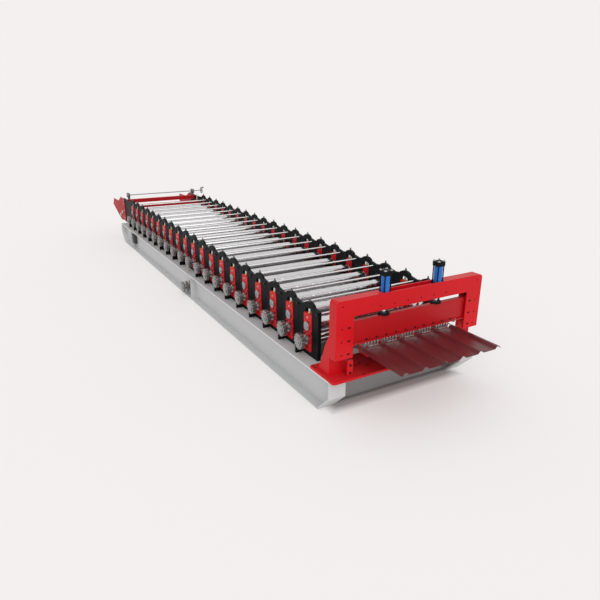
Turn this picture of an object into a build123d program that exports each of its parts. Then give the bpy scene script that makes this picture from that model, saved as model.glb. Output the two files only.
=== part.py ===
# Roll forming machine for trapezoid roofing sheet, with a hydraulic shear at its exit.
# Millimetres. +X is the feed direction, +Z is up, the floor is at zero height.
# The origin lies on the floor under the middle of the base, on the centre line.

import os
from math import cos, pi, sin

from build123d import *

# Line of stands
stand_count = 20
pitch = 400
half_width = 820
plate_thick = 40
plate_gap = 8
plate_shoulder = 945
plate_cap = 1004
cap_rise = 17
cap_drop = 19
cap_slope = 45
cap_half = 80
cap_ledge = 15
slot_width = 130
slot_bottom = 452
slot_top = 935
slot_round = 40
foot_reach = 88
foot_thick = 24
foot_low = 70
foot_high = 128
foot_offset = 115
drive_stand = 10

# Base
beam_height = 400
beam_width = 200
beam_overhang = 448
beam_lap = 169
beam_flange = 16
beam_web = 12
beam_recess = 96
nose_length = 202
nose_height = 200
cross_bays = 4
cross_width = 120
cross_height = 220
cross_plate = 14
opening_length = 240
opening_height = 165
opening_low = 50
entry_opening_low = 110
entry_opening_start = 20
stiffener_thick = 14
stiffener_step = 120

# Shafts and rolls
lower_axis = 582
upper_axis = 738
roll_radius = 72
roll_end_gap = 72
journal_radius = 35
bearing_clearance = 0.9
end_play = 1
nut_radius = 50
nut_thick = 16
nut_notch = 8
collar_radius = 46
collar_width = 14
stub_radius = 31
stub_inset = 10
sprocket_teeth = 14
sprocket_radius = 90
sprocket_width = 48
tooth_gap = 12
tooth_set = 3
sprocket_stub = 14

# Formed sheet and the grooves that form it
rib_count = 6
rib_pitch = 238
rib_base = 78
rib_top = 26
rib_height = 26
sheet_lip = 6
groove_play = 6
plain_stands = 15
first_groove = 1
last_groove = 5
sheet_thick = 1.5
sheet_level = 664
sheet_overhang = 637

# Bearing blocks
block_split = 670
block_gap = 4
upper_block_top = 876
block_face = 156
block_face_thick = 10
block_chamfer = 14

# Adjusting screws and tie rods
screw_radius = 9
screw_tip = 1041
screw_nut = 17
screw_nut_thick = 14
tie_radius = 12.5
tie_inset = 25
tie_offset = 176

# Drive in the base
drive_x = 110
drive_axis = 145
drive_radius = 28
drive_wheel_steps = (-24, 41)
drive_wheel_radius = 86
drive_wheel_width = 30
drive_end_step = 63
gearbox_start = 68
gearbox_length = 260
gearbox_low = 40
gearbox_high = 300
gearbox_depth = 230
gearbox_plate = 14
motor_radius = 95
motor_length = 330

# Entry end
entry_reach = 700
entry_top = 938
entry_slope = 150
guide_thick = 15
guide_lap = 140
guide_reach = 1000
guide_tip_reach = 130
guide_high = 942
guide_notch = 815
guide_prong = 340
guide_prong_slope = 290
guide_tip_high = 806
guide_tip_low = 650
guide_keel = 470
guide_low = 425
guide_heel = 388
guide_heel_back = 400
crossbar_size = 80
crossbar_back = 440
second_bar_back = 100
second_bar_drop = 80
stay_back = 1180
stay_size = 50
stay_level = 640
guide_gap = 0.3
feed_roller_radius = 42
feed_roller_back = 980
feed_roller_level = 517
feed_roller_step = 190
feed_roller_rise = 90
guide_screw_level = 1040
guide_screw_radius = 11
guide_block_inset = 40
guide_block_size = 42
wheel_reach = 160
wheel_radius = 74
wheel_rim = 9
wheel_hub = 22
wheel_hub_width = 34
spoke_radius = 6
spoke_count = 3
handle_length = 62

# Shear
shear_lead = 34
shear_plate_lead = 74
shear_plate_length = 449
shear_plate_thick = 25
shear_plate_corner = 30
portal_depth = 116
portal_plate = 12
portal_lap = 130
portal_side = 20
portal_top = 1230
portal_corner = 42
portal_foot = 628
column_width = 208
window_top = 1056
flare_levels = (850, 740, 600)
flare_steps = (0, 60, 110, 190)
gib_thick = 15
gib_low = 640
gib_high = 1010
carrier_top = 988
carrier_bottom = 752
carrier_thick = 50
carrier_play = 5
blade_thick = 12
blade_lift = 45
blade_side = 18
die_thick = 60
die_play = 7
die_half = 584
die_low = 600
pedestal_half = 240
post_width = 63
post_thick = 30
post_inset = 7
post_lap = 12
post_height = 168
cylinder_y = 345
cylinder_cap = 90
cylinder_foot = 30
cylinder_head = 50
cylinder_radius = 43
cylinder_top = 1440
cylinder_seat = 40
seat_thick = 24
cylinder_bore_depth = 140
cylinder_tie = 6
rod_radius = 20
rod_flange_radius = 60
rod_flange_thick = 20
rod_into = 80
hole_rows = (674, 810, 946)
hole_radius = 9
hole_inset = 72
beam_hole_level = 1104
beam_hole_pitch = 171.5
corner_hole_level = 1171
corner_hole_inset = 75

# Places that follow from the sizes above
line_half = stand_count * pitch / 2
plate_outer = half_width + plate_thick / 2
plate_inner = half_width - plate_thick / 2
beam_half_length = line_half + beam_overhang
beam_outer = half_width + beam_lap
beam_inner = beam_outer - beam_width
web_outer = beam_outer - beam_recess
web_inner = web_outer - beam_web
roll_half_length = half_width - roll_end_gap
block_bore = journal_radius + bearing_clearance
shear_front = beam_half_length + shear_lead
shear_back = shear_front - portal_depth
shear_middle = shear_front - portal_depth / 2
shear_base = beam_height + shear_plate_thick
portal_half = half_width + portal_lap
window_half = portal_half - column_width
stiffener_x = opening_length + stiffener_step
stub_end = beam_outer - stub_inset
tie_height = plate_shoulder - tie_inset
guide_block_y = plate_inner - guide_block_inset
wheel_y = plate_outer + wheel_reach


def stand_x(index):
    """Place of a stand along the line, counted from 0 at the entry."""
    return (index - (stand_count - 1) / 2) * pitch


def box(x0, x1, y0, y1, z0, z1):
    middle = ((x0 + x1) / 2, (y0 + y1) / 2, (z0 + z1) / 2)
    return Pos(*middle) * Box(x1 - x0, y1 - y0, z1 - z0)


def rod_x(y, z, radius, x0, x1):
    return Pos((x0 + x1) / 2, y, z) * Rot(0, 90, 0) * Cylinder(radius, x1 - x0)


def rod_y(x, z, radius, y0, y1):
    return Pos(x, (y0 + y1) / 2, z) * Rot(90, 0, 0) * Cylinder(radius, y1 - y0)


def rod_z(x, y, radius, z0, z1):
    return Pos(x, y, (z0 + z1) / 2) * Cylinder(radius, z1 - z0)


def plate_y(points, y0, y1):
    """Flat plate standing along the line, from its outline in X and Z."""
    face = make_face(Polyline([(x, 0, z) for x, z in points], close=True))
    return Pos(0, y0, 0) * extrude(face, amount=y1 - y0, dir=(0, 1, 0))


def plate_x(points, x0, x1):
    """Flat plate standing across the line, from its outline in Y and Z."""
    face = make_face(Polyline([(0, y, z) for y, z in points], close=True))
    return Pos(x0, 0, 0) * extrude(face, amount=x1 - x0, dir=(1, 0, 0))


def mirror_y(shape):
    return mirror(shape, about=Plane.XZ)


def both_sides(shape):
    return [shape, mirror_y(shape)]


# Base: two side beams with raked noses, joined by cross members
def side_beam():
    """Wide flange beam with closed raked noses and openings in its web."""
    length, nose = beam_half_length, beam_half_length - nose_length
    outline = [(-length, beam_height), (length, beam_height), (length, nose_height),
               (nose, 0), (-nose, 0), (-length, nose_height)]
    beam = plate_y(outline, -beam_outer, -beam_inner)
    rim = beam_flange
    hollow = [(-length + rim, beam_height - rim), (length - rim, beam_height - rim),
              (length - rim, nose_height + rim / 2), (nose - rim / 2, rim),
              (-nose + rim / 2, rim), (-length + rim, nose_height + rim / 2)]
    beam -= plate_y(hollow, -beam_outer - 1, -web_outer)
    beam -= plate_y(hollow, -web_inner, -beam_inner + 1)
    entry_start = entry_opening_start - line_half
    for start, low in ((0, opening_low), (entry_start, entry_opening_low)):
        beam -= box(start, start + opening_length, -web_outer - 1, -web_inner + 1,
                    low, low + opening_height)
        stiffener = start + stiffener_x
        beam += box(stiffener, stiffener + stiffener_thick, -beam_outer + 2, -web_outer,
                    rim, beam_height - rim)
    return beam


def cross_member(x, height):
    """Wide flange bar welded between the side beams, flush with the floor."""
    half, thick = cross_width / 2, cross_plate
    web = box(x - thick / 2, x + thick / 2, -beam_inner, beam_inner, 0, height)
    foot = box(x - half, x + half, -beam_inner, beam_inner, 0, thick)
    head = box(x - half, x + half, -beam_inner, beam_inner, height - thick, height)
    return web + foot + head


def cross_members():
    """Low bars along the base, and one of full height at each end."""
    spacing = (beam_half_length - nose_length - cross_width / 2) / cross_bays
    return [cross_member(bay * spacing, beam_height if abs(bay) == cross_bays else cross_height)
            for bay in range(-cross_bays, cross_bays + 1)]


# Stands
def stand_foot():
    """Gusset that stands on the beam outside the plate."""
    outer = plate_outer + foot_reach
    outline = [(-plate_outer, beam_height), (-outer, beam_height),
               (-outer, beam_height + foot_low), (-plate_outer, beam_height + foot_high)]
    return plate_x(outline, -foot_offset - foot_thick / 2, -foot_offset + foot_thick / 2)


def stand_plate():
    """Side plate with a raised cap over the slot for the bearing blocks."""
    half = (pitch - plate_gap) / 2
    right = [(half, beam_height), (half, plate_shoulder),
             (cap_half + cap_ledge, plate_shoulder + cap_rise),
             (cap_half, plate_cap - cap_drop), (cap_half - cap_slope, plate_cap)]
    left = [(-x, z) for x, z in right[::-1]]
    plate = plate_y(right + left, -plate_outer, -plate_inner)
    slot = box(-slot_width / 2, slot_width / 2, -plate_outer - 1, -plate_inner + 1,
               slot_bottom, slot_top)
    slot = fillet(slot.edges().filter_by(Axis.Y).group_by(Axis.Z)[-1], slot_round)
    return plate - slot - rod_z(0, -half_width, screw_radius, slot_bottom, plate_cap + 1)


def entry_plate():
    """Plain plate that carries the infeed guides ahead of the first stand."""
    start = -line_half - plate_gap / 2
    end = -line_half - entry_reach
    outline = [(end, beam_height), (start, beam_height), (start, plate_shoulder),
               (start - entry_slope, entry_top), (end, entry_top)]
    return plate_y(outline, -plate_outer, -plate_inner)


def stand_plates(foot_left_out):
    """Row of plates on one side; the drive chain takes the room of one foot."""
    plate, foot = stand_plate(), stand_foot()
    footed = plate + foot
    row = [Pos(stand_x(index), 0, 0) * (plate if index == foot_left_out else footed)
           for index in range(stand_count)]
    return row + [entry_plate()]


def bearing_block(z0, z1, axis):
    """Block in the slot, with a wider face that laps the plate outside."""
    half, face_half = slot_width / 2, block_face / 2
    body = box(-half, half, -plate_outer, -plate_inner, z0, z1)
    face = box(-face_half, face_half, -plate_outer - block_face_thick, -plate_outer, z0, z1)
    face = chamfer(face.edges().filter_by(Axis.Y), block_chamfer)
    bore = rod_y(0, axis, block_bore, -plate_outer - 2 * block_face_thick, -plate_inner + 1)
    return body + face - bore


def adjusting_screw():
    """Screw from the upper block through the cap, with its lock nut."""
    shank = rod_z(0, -half_width, screw_radius, upper_block_top, screw_tip)
    nut = Pos(0, -half_width, plate_cap) * extrude(RegularPolygon(screw_nut, 6), screw_nut_thick)
    return shank + nut


# Rolls
def turned(points):
    """Solid turned about the Y axis from (place along Y, radius) points."""
    outline = [(0, points[0][0], 0)] + [(r, y, 0) for y, r in points]
    outline += [(0, points[-1][0], 0)]
    return revolve(make_face(Polyline(outline, close=True)), Axis.Y, 360)


def groove_points(depth):
    """Profile of a roll's working face, with one groove for every rib."""
    points = []
    for rib in range(rib_count):
        y = (rib - (rib_count - 1) / 2) * rib_pitch
        wide, narrow = rib_base / 2 + groove_play, rib_top / 2 + groove_play
        points += [(y - wide, roll_radius), (y - narrow, roll_radius - depth),
                   (y + narrow, roll_radius - depth), (y + wide, roll_radius)]
    return points


def roll_and_shaft(depth):
    """Roll on its shaft, with a collar inside each bearing block."""
    outer = plate_outer + block_face_thick + end_play
    inner = plate_inner - end_play
    half = [(roll_half_length, roll_radius), (roll_half_length, journal_radius),
            (inner - collar_width, journal_radius), (inner - collar_width, collar_radius),
            (inner, collar_radius), (inner, journal_radius), (outer, journal_radius)]
    left = [(-y, r) for y, r in half[::-1]]
    grooves = groove_points(depth) if depth else []
    return turned(left + grooves + half)


def lock_nut():
    """Notched nut, lying against the bearing block on the minus Y side."""
    outline = Circle(nut_radius)
    for turn in range(4):
        outline -= Rot(0, 0, 90 * turn) * Pos(nut_radius, 0) * Rectangle(nut_notch, nut_notch)
    outer = plate_outer + block_face_thick + end_play
    nut = Rot(90, 0, 0) * extrude(outline, nut_thick)
    return Pos(0, -outer, 0) * nut


def chain_wheel(radius, width):
    """Chain wheel with round tooth gaps, centred on the XZ plane."""
    outline = Circle(radius)
    for tooth in range(sprocket_teeth):
        angle = 2 * pi * tooth / sprocket_teeth
        reach = radius - tooth_set
        outline -= Pos(reach * cos(angle), reach * sin(angle)) * Circle(tooth_gap)
    return Rot(90, 0, 0) * extrude(outline, width / 2, both=True)


def groove_depth(index):
    """No groove in the first stands, then deeper from stand to stand."""
    if index < plain_stands:
        return 0
    share = (index - plain_stands) / (stand_count - 1 - plain_stands)
    return first_groove + (last_groove - first_groove) * share


def lower_roll(nuts):
    """Lower roll, its shaft run out to the chain wheel on the minus Y side."""
    wheel_place = sprocket_stub + sprocket_width / 2 - stub_end
    stub = rod_y(0, 0, stub_radius, -stub_end, -plate_outer)
    wheel = Pos(0, wheel_place, 0) * chain_wheel(sprocket_radius, sprocket_width)
    return roll_and_shaft(0) + nuts + stub + wheel


# Drive in the base
def drive_shaft():
    """Output shaft of the gearbox with two chain wheels outside the beam."""
    shaft = rod_y(drive_x, drive_axis, drive_radius,
                  -beam_outer - drive_end_step, -beam_inner + gearbox_plate)
    for step in drive_wheel_steps:
        wheel = chain_wheel(drive_wheel_radius, drive_wheel_width)
        shaft += Pos(drive_x, -beam_outer - step, drive_axis) * wheel
    return shaft


def drive_gearbox():
    """Gearbox and motor, hung on the inside of the near beam by a plate."""
    x0, x1 = gearbox_start, gearbox_start + gearbox_length
    face = -beam_inner
    plate = box(x0, x1, face, face + gearbox_plate, 1, beam_height - 1)
    body = box(x0, x1, face, face + gearbox_depth, gearbox_low, gearbox_high)
    body = fillet(body.edges().filter_by(Axis.Y), 24)
    middle = face + gearbox_depth / 2
    motor = rod_x(middle, drive_axis, motor_radius, x1 - 1, x1 + motor_length)
    bore = rod_y(drive_x, drive_axis, drive_radius + bearing_clearance,
                 face - 1, face + gearbox_plate + end_play)
    return plate + body + motor - bore


# Formed sheet
def sheet_line(offset):
    """Section of the sheet from side to side, as (Y, height over the pans)."""
    edge = (rib_count - 1) / 2 * rib_pitch + rib_base / 2 + sheet_lip
    points = [(-edge, offset)]
    for rib in range(rib_count):
        y = (rib - (rib_count - 1) / 2) * rib_pitch
        wide, narrow = rib_base / 2, rib_top / 2
        points += [(y - wide, offset), (y - narrow, rib_height + offset),
                   (y + narrow, rib_height + offset), (y + wide, offset)]
    return points + [(edge, offset)]


def formed_sheet():
    """Cut length of sheet on the front die, running out of the shear."""
    under = [(y, sheet_level + h) for y, h in sheet_line(0)]
    over = [(y, sheet_level + h) for y, h in sheet_line(sheet_thick)]
    start = shear_middle + blade_thick / 2 + die_play
    return plate_x(under + over[::-1], start, beam_half_length + sheet_overhang)


# Shear
def portal_holes():
    """Bolt holes in the front and back plates."""
    x0, depth = shear_middle, portal_depth + 2
    places = [(portal_half - hole_inset, z) for z in hole_rows]
    places += [(portal_half - corner_hole_inset, corner_hole_level)]
    places += [(beam_hole_pitch * (step + 0.5), beam_hole_level) for step in range(3)]
    round_hole = Rot(0, 90, 0) * Cylinder(hole_radius, depth)
    return [Pos(x0, side * y, z) * round_hole for y, z in places for side in (-1, 1)]


def portal_side_plate():
    """Side plate; its leg stands behind the window plate and flares to the back."""
    step, leg = flare_steps, shear_back + portal_plate
    back = [(shear_back - step[0], flare_levels[0]), (shear_back - step[1], flare_levels[1]),
            (shear_back - step[2], flare_levels[2]), (shear_back - step[3], beam_height)]
    outline = [(leg, beam_height), (leg, portal_foot), (shear_front, portal_foot),
               (shear_front, portal_top - portal_corner),
               (shear_back, portal_top - portal_corner)]
    return plate_y(outline + back, -portal_half, -portal_half + portal_side)


def shear_frame():
    """Base plate and portal: window plates, side plates, covers and guides."""
    top = portal_top
    block = plate_x([(-portal_half, portal_foot), (-portal_half, top), (portal_half, top),
                     (portal_half, portal_foot)], shear_back, shear_front)
    corners = block.edges().filter_by(Axis.X).group_by(Axis.Z)[-1]
    envelope = fillet(corners, portal_corner)
    inside = box(shear_back + portal_plate, shear_front - portal_plate,
                 -portal_half + portal_side, portal_half - portal_side,
                 portal_foot - 1, top - portal_plate)
    channel = cylinder_y + cylinder_cap / 2 + 8
    gap = box(shear_back + portal_plate, shear_front - portal_plate,
              -channel, channel, portal_foot, top + 1)
    window = box(shear_back - 1, shear_front + 1, -window_half, window_half,
                 portal_foot - 1, window_top)
    portal = envelope - inside - gap - window

    seat = box(shear_back + portal_plate, shear_front - portal_plate,
               -channel, -channel + cylinder_cap + 16,
               top - cylinder_seat - seat_thick, top - cylinder_seat)
    seat -= rod_z(shear_middle, -cylinder_y, rod_radius + 6, top - 2 * cylinder_seat, top)
    reach = portal_half - portal_side
    gib_back = box(shear_back + portal_plate, shear_back + portal_plate + gib_thick,
                   -reach, -window_half - 8, gib_low, gib_high)
    gib_front = box(shear_front - portal_plate - gib_thick, shear_front - portal_plate,
                    -reach, -window_half - 8, gib_low, gib_high)
    leg = box(shear_back, shear_back + portal_plate, -reach - 1, -window_half,
              beam_height, portal_foot)
    half = portal_side_plate() + seat + gib_back + gib_front + leg

    base = box(beam_half_length + shear_plate_lead - shear_plate_length,
               beam_half_length + shear_plate_lead, -beam_outer, beam_outer,
               beam_height, shear_base)
    base = fillet(base.edges().filter_by(Axis.Z), shear_plate_corner)
    return portal - portal_holes() + half + mirror_y(half) + base


def die(x0, x1):
    """Fixed cutting die whose top follows the underside of the sheet."""
    top = [(y, sheet_level + h) for y, h in sheet_line(0) if abs(y) <= die_half]
    edge = top[-1][0]
    return plate_x([(-edge, die_low)] + top + [(edge, die_low)], x0, x1)


def shear_dies():
    """Back and front die on a shared pedestal, with a stop post at each side."""
    gap = blade_thick / 2 + die_play
    back, front = shear_middle - gap - die_thick, shear_middle + gap + die_thick
    pedestal = box(back, front, -pedestal_half, pedestal_half, shear_base, die_low)
    dies = pedestal + die(back, back + die_thick) + die(front - die_thick, front)
    near = -window_half + post_lap
    post = box(shear_front - post_inset - post_thick, shear_front - post_inset,
               near - post_width, near, shear_base, shear_base + post_height)
    return [dies] + both_sides(post)


def blade_carrier():
    """Thick plate that slides between the columns."""
    half = portal_half - portal_side - carrier_play
    return box(shear_middle - carrier_thick / 2, shear_middle + carrier_thick / 2,
               -half, half, carrier_bottom, carrier_top)


def shear_blade():
    """Blade under the carrier, cut to the section of the sheet."""
    lift = sheet_thick + blade_lift
    edge = [(y, sheet_level + h + lift) for y, h in sheet_line(0)]
    end = -edge[0][0] + blade_side
    outline = [(-end, carrier_bottom), (-end, sheet_level + lift)] + edge
    outline += [(end, sheet_level + lift), (end, carrier_bottom)]
    return plate_x(outline, shear_middle - blade_thick / 2, shear_middle + blade_thick / 2)


def shear_cylinder(y):
    """Tie rod cylinder standing on its seat in the portal."""
    x, base, half = shear_middle, portal_top - cylinder_seat, cylinder_cap / 2
    foot = box(x - half, x + half, y - half, y + half, base, base + cylinder_foot)
    head = box(x - half, x + half, y - half, y + half,
               cylinder_top - cylinder_head, cylinder_top)
    solid = foot + head + rod_z(x, y, cylinder_radius, base, cylinder_top)
    tie = half - 1.5 * cylinder_tie
    for dx in (-tie, tie):
        for dy in (-tie, tie):
            solid += rod_z(x + dx, y + dy, cylinder_tie, base, cylinder_top + 2 * cylinder_tie)
    return solid - rod_z(x, y, rod_radius + end_play, base - 1, base + cylinder_bore_depth)


def cylinder_rod(y):
    """Piston rod with the flange that holds the carrier."""
    rod = rod_z(shear_middle, y, rod_radius, carrier_top, portal_top + rod_into)
    flange = rod_z(shear_middle, y, rod_flange_radius, carrier_top,
                   carrier_top + rod_flange_thick)
    return rod + flange


# Entry
def guide_side():
    """Side plate of the infeed, stepped on top and tapered below."""
    root = -line_half - entry_reach + guide_lap
    tip = -line_half - entry_reach - guide_reach
    prong, middle = root - guide_prong, (root + tip) / 2
    outline = [(root, guide_high), (prong, guide_high),
               (prong - guide_prong_slope, guide_notch), (tip, guide_tip_high),
               (tip - guide_tip_reach, guide_tip_low), (middle - guide_lap, guide_keel),
               (root - guide_heel_back, guide_heel), (root - guide_lap, guide_low),
               (root, guide_low)]
    return plate_y(outline, -plate_outer - guide_thick, -plate_outer)


def infeed_guides():
    """Side plates, the stay between them, cross bars and screw bearings."""
    side = guide_side()
    reach = plate_outer - guide_gap
    stay = box(-line_half - stay_back, -line_half - stay_back + stay_size, -reach, reach,
               stay_level, stay_level + stay_size)
    bar_x, half = -line_half - crossbar_back, crossbar_size / 2
    bar = box(bar_x - half, bar_x + half, -plate_inner, plate_inner,
              entry_top - crossbar_size, entry_top)
    second_x = -line_half - second_bar_back
    second_top = entry_top - second_bar_drop
    second = box(second_x - half / 2, second_x + half / 2, -plate_inner, plate_inner,
                 second_top - crossbar_size, second_top)
    size = guide_block_size / 2
    bearing = box(bar_x - size, bar_x + size, -guide_block_y - size, -guide_block_y + size,
                  entry_top, guide_screw_level + size)
    bearing -= rod_y(bar_x, guide_screw_level, guide_screw_radius + bearing_clearance,
                     -plate_inner, 0)
    return both_sides(side) + [stay, bar + bearing + mirror_y(bearing), second]


def infeed_rollers():
    """Two support rollers between the infeed guides."""
    start = -line_half - feed_roller_back
    places = [(start, feed_roller_level),
              (start + feed_roller_step, feed_roller_level + feed_roller_rise)]
    return [rod_y(x, z, feed_roller_radius, -plate_outer, plate_outer) for x, z in places]


def hand_wheel():
    """Spoked wheel with a crank handle, its hub on the XZ plane."""
    rim_radius = wheel_radius - wheel_rim
    rim = rod_y(0, 0, wheel_radius, -wheel_rim, wheel_rim)
    rim = chamfer(rim.edges(), wheel_rim / 2)
    rim -= rod_y(0, 0, wheel_radius - 2 * wheel_rim, -wheel_rim - 1, wheel_rim + 1)
    wheel = rim + rod_y(0, 0, wheel_hub, -wheel_hub_width / 2, wheel_hub_width / 2)
    for turn in range(spoke_count):
        wheel += Rot(0, 360 * turn / spoke_count, 0) * rod_z(0, 0, spoke_radius, 0, rim_radius)
    return wheel + rod_y(0, rim_radius, wheel_rim - 1, 0, handle_length)


def guide_screw():
    """Screw across the infeed, turned by the hand wheel at its far end."""
    screw = rod_y(0, 0, guide_screw_radius, -plate_inner, wheel_y)
    return Pos(-line_half - crossbar_back, 0, guide_screw_level) * (
        screw + Pos(0, wheel_y, 0) * hand_wheel())


def save(name, shapes):
    flat = shapes if isinstance(shapes, list) else [shapes]
    solids = [solid for shape in flat for solid in shape.solids()]
    whole = Compound(children=solids) if len(solids) > 1 else solids[0]
    export_step(whole, f"parts/{name}.step")


def main():
    os.makedirs("parts", exist_ok=True)
    places = [stand_x(index) for index in range(stand_count)]

    save("side_beams", both_sides(side_beam()))
    save("cross_members", cross_members())
    save("stand_plates_left", stand_plates(drive_stand))
    save("stand_plates_right", [mirror_y(plate) for plate in stand_plates(None)])

    lower = bearing_block(slot_bottom, block_split - block_gap / 2, lower_axis)
    upper = bearing_block(block_split + block_gap / 2, upper_block_top, upper_axis)
    for name, piece in (("lower_bearing_blocks", lower), ("upper_bearing_blocks", upper),
                        ("adjusting_screws", adjusting_screw())):
        save(name, [Pos(x, 0, 0) * side for x in places for side in both_sides(piece)])
    save("tie_rods", [rod_y(x + tie_offset, tie_height, tie_radius, -plate_inner, plate_inner)
                      for x in places])

    nuts = both_sides(lock_nut())
    lower_shaft = lower_roll(nuts)
    for index, x in enumerate(places):
        upper_shaft = roll_and_shaft(groove_depth(index)) + nuts
        save(f"lower_roll_{index + 1:02d}", Pos(x, 0, lower_axis) * lower_shaft)
        save(f"upper_roll_{index + 1:02d}", Pos(x, 0, upper_axis) * upper_shaft)

    save("drive_gearbox", drive_gearbox())
    save("drive_shaft", drive_shaft())

    save("shear_frame", shear_frame())
    save("shear_dies", shear_dies())
    save("blade_carrier", blade_carrier())
    save("shear_blade", shear_blade())
    save("shear_cylinders", [shear_cylinder(y) for y in (-cylinder_y, cylinder_y)])
    save("cylinder_rods", [cylinder_rod(y) for y in (-cylinder_y, cylinder_y)])
    save("formed_sheet", formed_sheet())

    save("infeed_guides", infeed_guides())
    save("infeed_rollers", infeed_rollers())
    save("guide_screw", guide_screw())


main()
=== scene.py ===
from math import cos, pi, radians, sin

import bmesh
import bpy
from mathutils import Matrix, Vector


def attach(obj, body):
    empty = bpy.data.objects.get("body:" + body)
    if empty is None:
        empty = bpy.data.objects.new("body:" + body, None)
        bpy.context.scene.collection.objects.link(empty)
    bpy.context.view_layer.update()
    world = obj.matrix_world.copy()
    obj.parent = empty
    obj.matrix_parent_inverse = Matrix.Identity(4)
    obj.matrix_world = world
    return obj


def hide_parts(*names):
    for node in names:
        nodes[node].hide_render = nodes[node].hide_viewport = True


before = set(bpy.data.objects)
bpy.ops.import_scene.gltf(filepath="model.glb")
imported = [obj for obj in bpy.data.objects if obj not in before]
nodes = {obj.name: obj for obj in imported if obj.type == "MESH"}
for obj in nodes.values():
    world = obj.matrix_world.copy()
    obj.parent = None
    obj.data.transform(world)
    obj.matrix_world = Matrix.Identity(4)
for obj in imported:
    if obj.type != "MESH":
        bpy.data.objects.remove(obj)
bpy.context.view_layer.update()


def spaced(count, pitch, centre=0.0):
    return [centre + (step - (count - 1) / 2) * pitch for step in range(count)]


# places along the line that many pieces share, in metres
line = {"stands": 20, "pitch": 0.4, "wall": 0.82, "plateOuter": 0.84, "blockFace": 0.85,
        "guideFace": 0.855, "shaftEnd": 0.867, "stubEnd": 0.979,
        "levels": {"lower": 0.582, "upper": 0.738}}
shear = {"middle": 4.424, "carrierFront": 4.449, "plateTop": 0.425, "cylinder": 0.345}
guideScrew = {"x": -4.440, "z": 1.040}
drive = {"x": 0.110, "z": 0.145, "motorY": -0.674}
standPlaces = spaced(line["stands"], line["pitch"])
sides = (-1, 1)
# a face looks along an axis where its normal's share of that axis is above this
facingShare = 0.9

# how loose triangles become one smooth form: metres and degrees
meshing = {"merge": 0.00002, "flat": 0.8, "corner": 40, "smooth": 32}


# small tools for modelling

def clearSelection():
    if bpy.context.object and bpy.context.object.mode != "OBJECT":
        bpy.ops.object.mode_set(mode="OBJECT")
    bpy.ops.object.select_all(action="DESELECT")


def pick(obj):
    clearSelection()
    obj.select_set(True)
    bpy.context.view_layer.objects.active = obj


def settle():
    # puts the place of the active object into its mesh
    bpy.ops.object.mode_set(mode="OBJECT")
    bpy.ops.object.transform_apply(location=True, rotation=True, scale=True)
    return bpy.context.object


def selectFaces(test):
    # edit mode: keeps only the faces that pass, from their centre and normal
    bpy.ops.mesh.select_mode(type="FACE")
    bpy.ops.mesh.select_all(action="DESELECT")
    mesh = bmesh.from_edit_mesh(bpy.context.object.data)
    for face in mesh.faces:
        if test(face.calc_center_median(), face.normal):
            face.select_set(True)
    bmesh.update_edit_mesh(bpy.context.object.data)


def ringStack(levels, corners):
    # a turned piece about Z: a circle, then extruded and resized ring by ring
    clearSelection()
    radius, height = levels[0]
    bpy.ops.mesh.primitive_circle_add(vertices=corners, radius=radius, fill_type="NGON",
                                      location=(0, 0, height))
    settle()
    bpy.ops.object.mode_set(mode="EDIT")
    bpy.ops.mesh.select_all(action="SELECT")
    for nextRadius, nextHeight in levels[1:]:
        bpy.ops.mesh.extrude_region_move(
            TRANSFORM_OT_translate={"value": (0, 0, nextHeight - height)})
        factor = nextRadius / radius
        bpy.ops.transform.resize(value=(factor, factor, 1), center_override=(0, 0, nextHeight))
        radius, height = nextRadius, nextHeight
    bpy.ops.mesh.select_all(action="SELECT")
    bpy.ops.mesh.normals_make_consistent(inside=False)
    return settle()


def turnedFrom(look):
    return ringStack(look["levels"], look["sides"])


def bevelledBox(size, centre, width):
    clearSelection()
    bpy.ops.mesh.primitive_cube_add(size=1, location=centre)
    bpy.context.object.scale = size
    settle()
    bpy.ops.object.mode_set(mode="EDIT")
    bpy.ops.mesh.select_all(action="SELECT")
    bpy.ops.mesh.bevel(offset=width, segments=2, affect="EDGES")
    return settle()


def joinAll(parts):
    clearSelection()
    for part in parts:
        part.select_set(True)
    bpy.context.view_layer.objects.active = parts[0]
    bpy.ops.object.join()
    return bpy.context.object


def finish(obj, name, material, body):
    obj.name = name
    obj.data.name = name
    obj.data.materials.clear()
    obj.data.materials.append(materials[material])
    pick(obj)
    bpy.ops.object.shade_smooth_by_angle(angle=radians(meshing["smooth"]))
    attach(obj, body)
    return obj


def placed(source, placings):
    # one mesh with a copy of the source at each placing
    parts = []
    for placing in placings:
        part = source.copy()
        part.data = source.data.copy()
        part.data.transform(placing)
        bpy.context.collection.objects.link(part)
        parts.append(part)
    return joinAll(parts)


def spent(source, placings):
    # the same, for a source that isn't needed again
    joined = placed(source, placings)
    bpy.data.objects.remove(source)
    return joined


def facing(axis):
    # turns a piece modelled along +Z so that it points along the named axis
    turns = {"+x": Matrix.Rotation(pi / 2, 4, "Y"), "-x": Matrix.Rotation(-pi / 2, 4, "Y"),
             "+y": Matrix.Rotation(-pi / 2, 4, "X"), "-y": Matrix.Rotation(pi / 2, 4, "X"),
             "+z": Matrix.Identity(4), "-z": Matrix.Rotation(pi, 4, "X")}
    return turns[axis]


def at(x, y, z, axis="+z", spin=0.0):
    return Matrix.Translation((x, y, z)) @ facing(axis) @ Matrix.Rotation(spin, 4, "Z")


def outward(side):
    return "+y" if side > 0 else "-y"


def onBothSides(face, places):
    # placings on the outer faces of both sides, at each (X, Z)
    return [at(x, side * face, z, outward(side)) for side in sides for x, z in places]


def onCircle(count, radius, start):
    angles = [start + 2 * pi * step / count for step in range(count)]
    return [(radius * cos(angle), radius * sin(angle)) for angle in angles]


def rollName(level, index):
    return "%s_roll_%02d" % (level, index + 1)


# shader node groups, each built once

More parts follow.
